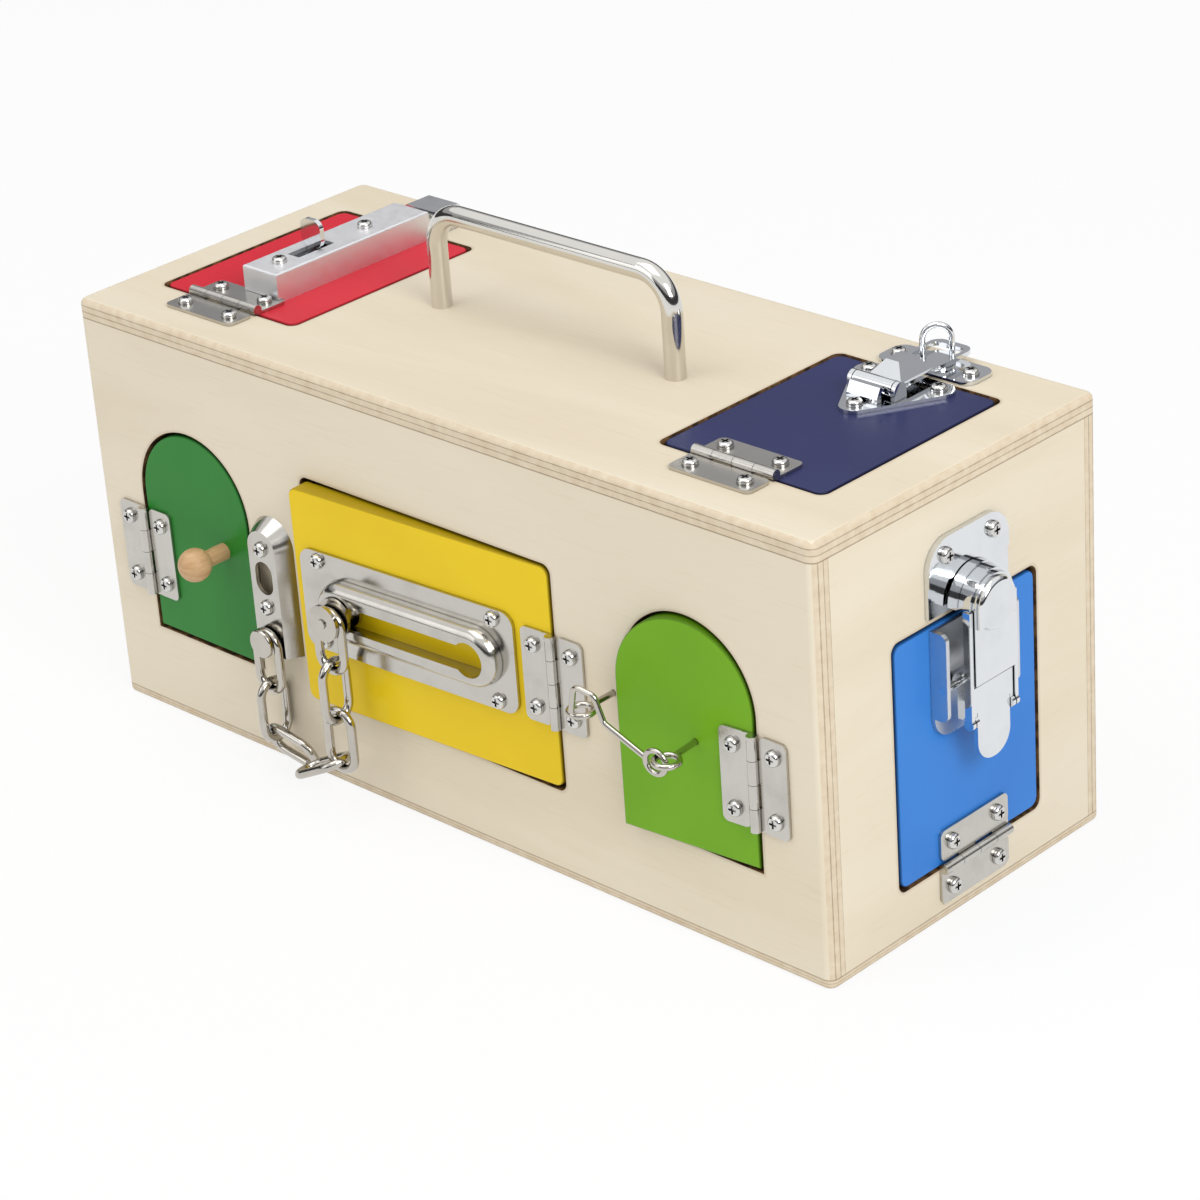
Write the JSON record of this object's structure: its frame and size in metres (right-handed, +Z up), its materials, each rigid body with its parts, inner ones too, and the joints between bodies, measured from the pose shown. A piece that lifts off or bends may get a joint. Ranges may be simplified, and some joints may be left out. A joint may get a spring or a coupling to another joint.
{
  "type": "wooden lock box",
  "caption": "Plywood learning box with painted doors and lids, each with its own lock: chain slider, hook and eye, draw latch, square bolt or hasp, and a carry handle on top.",
  "frame": {"origin": "centre of the base's underside, on the surface the box stands on", "axes": "+X along the length to the right end with the blue door, -Y out of the front, +Z up"},
  "size_m": [0.3124, 0.1432, 0.1712],
  "materials": {
    "birch_ply": "clear matt lacquer on birch plywood",
    "green_paint": "glossy green paint on plywood",
    "yellow_paint": "glossy yellow paint on plywood",
    "lime_paint": "glossy lime paint on plywood",
    "blue_paint": "glossy sky blue paint on plywood",
    "red_paint": "glossy red paint on plywood",
    "navy_paint": "glossy dark blue paint on plywood",
    "hinge_steel": "nickel-plated sheet steel",
    "screw_steel": "bright plated screws",
    "handle_chrome": "satin polished steel bar",
    "satin_nickel": "satin nickel pressed steel",
    "bright_wire": "bright plated steel wire",
    "chrome": "chrome-plated pressed steel",
    "beech": "turned beech, clear lacquer"
  },
  "bodies": {
    "case": {"front_panel": "birch_ply", "back_panel": "birch_ply", "left_end_panel": "birch_ply", "right_end_panel": "birch_ply", "top_panel": "birch_ply", "bottom_panel": "birch_ply", "green_hinge_case_leaf": "hinge_steel", "yellow_hinge_case_leaf": "hinge_steel", "lime_hinge_case_leaf": "hinge_steel", "blue_hinge_case_leaf": "hinge_steel", "red_hinge_case_leaf": "hinge_steel", "navy_hinge_case_leaf": "hinge_steel", "hinge_pins": "hinge_steel", "case_screws": "screw_steel", "carry_handle": "handle_chrome", "handle_screws": "screw_steel", "chain_bracket": "satin_nickel", "chain_rivet": "bright_wire", "wall_eye": "bright_wire", "latch_strike": "satin_nickel", "bolt_strike": "chrome", "hasp_strike": "chrome"},
    "green_door": {"green_door": "green_paint", "green_hinge_door_leaf": "hinge_steel", "green_door_screws": "screw_steel", "knob": "beech"},
    "yellow_door": {"yellow_door": "yellow_paint", "yellow_hinge_door_leaf": "hinge_steel", "yellow_door_screws": "screw_steel", "slot_plate": "satin_nickel"},
    "lime_door": {"lime_door": "lime_paint", "lime_hinge_door_leaf": "hinge_steel", "lime_door_screws": "screw_steel", "door_eye": "bright_wire"},
    "blue_door": {"blue_door": "blue_paint", "blue_hinge_door_leaf": "hinge_steel", "blue_door_screws": "screw_steel", "latch_base": "satin_nickel", "latch_lever_pin": "chrome"},
    "red_lid": {"red_lid": "red_paint", "red_hinge_door_leaf": "hinge_steel", "red_lid_screws": "screw_steel", "bolt_housing": "chrome"},
    "navy_lid": {"navy_lid": "navy_paint", "navy_hinge_door_leaf": "hinge_steel", "navy_lid_screws": "screw_steel", "hasp_plate": "chrome", "hasp_pin": "chrome"},
    "slider": {"slider": "bright_wire"},
    "slider_chain": {"slider_chain": "bright_wire"},
    "case_chain": {"case_chain": "bright_wire"},
    "hook": {"hook": "bright_wire"},
    "latch_lever": {"latch_lever": "chrome", "latch_loop_pin": "chrome"},
    "latch_loop": {"latch_loop": "chrome"},
    "bolt": {"bolt": "chrome"},
    "hasp_arm": {"hasp_arm": "chrome"},
    "padlock_ring": {"padlock_ring": "chrome"}
  },
  "joints": [
    {"name": "green_door_swing", "type": "hinge", "parent": "case", "child": "green_door", "pos_m": [-0.12835, -0.0626, 0.066], "axis": [0, 0, -1], "range_deg": [0, 110]},
    {"name": "yellow_door_swing", "type": "hinge", "parent": "case", "child": "yellow_door", "pos_m": [0.0505, -0.0626, 0.066], "axis": [0, 0, 1], "range_deg": [-3.3, 96.7]},
    {"name": "lime_door_swing", "type": "hinge", "parent": "case", "child": "lime_door", "pos_m": [0.12625, -0.0626, 0.066], "axis": [0, 0, 1], "range_deg": [-5, 95]},
    {"name": "blue_door_drop", "type": "hinge", "parent": "case", "child": "blue_door", "pos_m": [0.1516, 0.0005, 0.01745], "axis": [0, 1, 0], "range_deg": [0, 90]},
    {"name": "red_lid_lift", "type": "hinge", "parent": "case", "child": "red_lid", "pos_m": [-0.1063, -0.03795, 0.1386], "axis": [1, 0, 0], "range_deg": [0, 105]},
    {"name": "navy_lid_lift", "type": "hinge", "parent": "case", "child": "navy_lid", "pos_m": [0.1026, -0.03635, 0.1386], "axis": [1, 0, 0], "range_deg": [0, 105]},
    {"name": "slider_slide", "type": "slide", "parent": "yellow_door", "child": "slider", "axis": [0.9983, 0.0576, 0], "range_m": [0, 0.048]},
    {"name": "slider_chain_swing", "type": "hinge", "parent": "slider", "child": "slider_chain", "pos_m": [-0.02981, -0.07514, 0.0669], "axis": [0.0576, -0.9983, 0], "range_deg": [0, 15]},
    {"name": "case_chain_swing", "type": "hinge", "parent": "case", "child": "case_chain", "pos_m": [-0.0685, -0.0677, 0.0452], "axis": [0, 1, 0], "range_deg": [0, 8]},
    {"name": "hook_lift", "type": "hinge", "parent": "lime_door", "child": "hook", "pos_m": [0.10299, -0.07608, 0.065], "axis": [-0.0872, 0.9962, 0], "range_deg": [0, 100]},
    {"name": "latch_lever_pull", "type": "hinge", "parent": "blue_door", "child": "latch_lever", "pos_m": [0.1542, 0.0008, 0.0755], "axis": [0, -1, 0], "range_deg": [0, 100]},
    {"name": "latch_loop_turn", "type": "hinge", "parent": "latch_lever", "child": "latch_loop", "pos_m": [0.1586, 0.0008, 0.064], "axis": [0, -1, 0], "range_deg": [-100, 0]},
    {"name": "bolt_slide", "type": "slide", "parent": "red_lid", "child": "bolt", "axis": [0, 1, 0], "range_m": [-0.0075, 0.005]},
    {"name": "hasp_arm_lift", "type": "hinge", "parent": "navy_lid", "child": "hasp_arm", "pos_m": [0.1022, 0.0225, 0.141], "axis": [1, 0, 0], "range_deg": [0, 100]},
    {"name": "padlock_ring_turn", "type": "hinge", "parent": "case", "child": "padlock_ring", "pos_m": [0.1022, 0.0495, 0.141], "axis": [0, 0, 1], "range_deg": [-90, 90]}
  ],
  "couplings": [
    {"joint": "latch_loop_turn", "follows": "latch_lever_pull", "ratio": -1}
  ]
}
